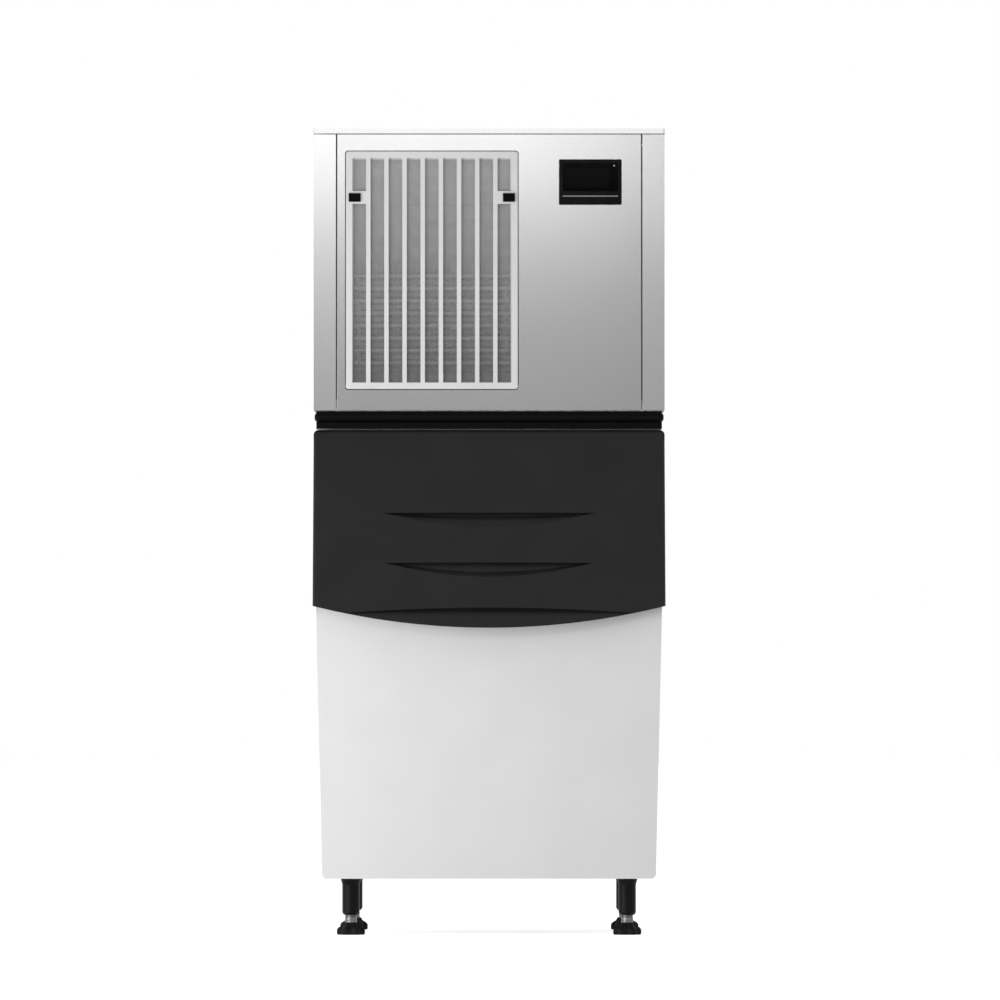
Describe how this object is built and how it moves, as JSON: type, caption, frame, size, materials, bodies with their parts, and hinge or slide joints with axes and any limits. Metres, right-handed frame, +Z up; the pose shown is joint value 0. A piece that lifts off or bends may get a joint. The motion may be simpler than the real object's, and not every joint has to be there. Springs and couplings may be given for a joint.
{
  "type": "ice machine",
  "caption": "Modular ice machine: stainless ice-making head with an air filter grille and a display, on an insulated bin with a black top-hinged door and levelling feet.",
  "frame": {"origin": "on the floor under the middle of the machine's bounding box", "axes": "+Z up, -Y towards the front with the door, +X to the viewer's right"},
  "size_m": [0.7634, 0.8683, 1.749],
  "materials": {
    "painted_steel": "satin paint",
    "foam": "rigid foam",
    "white_liner": "moulded white plastic",
    "black_moulding": "satin black moulding",
    "gasket_rubber": "soft",
    "zinc_steel": "zinc plated",
    "stainless": "brushed",
    "pale_plastic": "satin",
    "net": "woven net",
    "latch_black": "satin",
    "screen_glass": "glossy dark glass",
    "grey_case": "satin",
    "fins": "bare",
    "fan_plastic": "satin",
    "motor_black": "gloss paint",
    "copper": "drawn tube",
    "nickel_grid": "nickel plated",
    "clear_plastic": "translucent white",
    "brass": "turned",
    "grey_pipe": "satin",
    "leg_black": "satin paint",
    "foot": "satin black with a metal stem"
  },
  "bodies": {
    "cabinet": {"bin_shell": "painted_steel", "bin_insulation": "foam", "bin_liner": "white_liner", "evaporator_frame": "white_liner", "water_trough": "white_liner", "bin_top_frame": "black_moulding", "control_bezel": "black_moulding", "opening_gasket": "gasket_rubber", "compressor_grommets": "gasket_rubber", "door_hinge_plates": "zinc_steel", "leg_sockets": "zinc_steel", "head_frame_posts": "zinc_steel", "panel_screws": "zinc_steel", "compartment_wall": "zinc_steel", "fan_shroud": "zinc_steel", "fan_bracket": "zinc_steel", "filter_hinge_clips": "zinc_steel", "head_base": "zinc_steel", "head_left_panel": "stainless", "head_right_panel": "stainless", "head_front_panel": "stainless", "head_top_panel": "stainless", "head_back_panel": "stainless", "cable_gland": "latch_black", "control_window": "screen_glass", "control_box": "grey_case", "water_pump": "grey_case", "condenser": "fins", "fan_motor": "motor_black", "compressor": "motor_black", "discharge_line": "copper", "liquid_line": "copper", "suction_line": "copper", "evaporator": "nickel_grid", "distributor_tube": "clear_plastic", "pump_tube": "clear_plastic", "inlet_tube": "clear_plastic", "float_valve": "clear_plastic", "water_inlet_fitting": "brass", "bin_drain_fitting": "grey_pipe", "head_drain_fitting": "grey_pipe", "leg_front_left": "leg_black", "leg_front_right": "leg_black", "leg_rear_left": "leg_black", "leg_rear_right": "leg_black"},
    "door": {"door_shell": "black_moulding", "door_foam": "foam", "door_liner": "white_liner"},
    "filter": {"filter_frame": "pale_plastic", "filter_mesh": "net"},
    "latch_left": {"filter_latch_left": "latch_black"},
    "latch_right": {"filter_latch_right": "latch_black"},
    "fan": {"fan_blades": "fan_plastic"},
    "curtain": {"water_curtain": "clear_plastic"},
    "float": {"float_arm": "clear_plastic"},
    "foot_fl": {"foot_front_left": "foot"},
    "foot_fr": {"foot_front_right": "foot"},
    "foot_rl": {"foot_rear_left": "foot"},
    "foot_rr": {"foot_rear_right": "foot"}
  },
  "joints": [
    {"name": "door_swing", "type": "hinge", "parent": "cabinet", "child": "door", "pos_m": [0, -0.21282, 1.079], "axis": [-1, 0, 0], "range_deg": [0, 95]},
    {"name": "filter_tilt", "type": "hinge", "parent": "cabinet", "child": "filter", "pos_m": [-0.1245, -0.21282, 1.189], "axis": [1, 0, 0], "range_deg": [0, 25]},
    {"name": "latch_left_slide", "type": "slide", "parent": "filter", "child": "latch_left", "axis": [1, 0, 0], "range_m": [0, 0.008]},
    {"name": "latch_right_slide", "type": "slide", "parent": "filter", "child": "latch_right", "axis": [-1, 0, 0], "range_m": [0, 0.008]},
    {"name": "fan_spin", "type": "hinge", "parent": "cabinet", "child": "fan", "pos_m": [-0.1245, -0.10382, 1.338], "axis": [0, 1, 0], "continuous": true},
    {"name": "curtain_swing", "type": "hinge", "parent": "cabinet", "child": "curtain", "pos_m": [0.203, 0.09568, 1.602], "axis": [-1, 0, 0], "range_deg": [0, 30]},
    {"name": "float_swing", "type": "hinge", "parent": "cabinet", "child": "float", "pos_m": [0.125, 0.22518, 1.285], "axis": [0, 1, 0], "range_deg": [0, 15]},
    {"name": "foot_fl_turn", "type": "hinge", "parent": "cabinet", "child": "foot_fl", "pos_m": [-0.299, -0.29582, 0.02], "axis": [0, 0, 1], "continuous": true},
    {"name": "foot_fr_turn", "type": "hinge", "parent": "cabinet", "child": "foot_fr", "pos_m": [0.299, -0.29582, 0.02], "axis": [0, 0, 1], "continuous": true},
    {"name": "foot_rl_turn", "type": "hinge", "parent": "cabinet", "child": "foot_rl", "pos_m": [-0.299, 0.33418, 0.02], "axis": [0, 0, 1], "continuous": true},
    {"name": "foot_rr_turn", "type": "hinge", "parent": "cabinet", "child": "foot_rr", "pos_m": [0.299, 0.33418, 0.02], "axis": [0, 0, 1], "continuous": true}
  ]
}
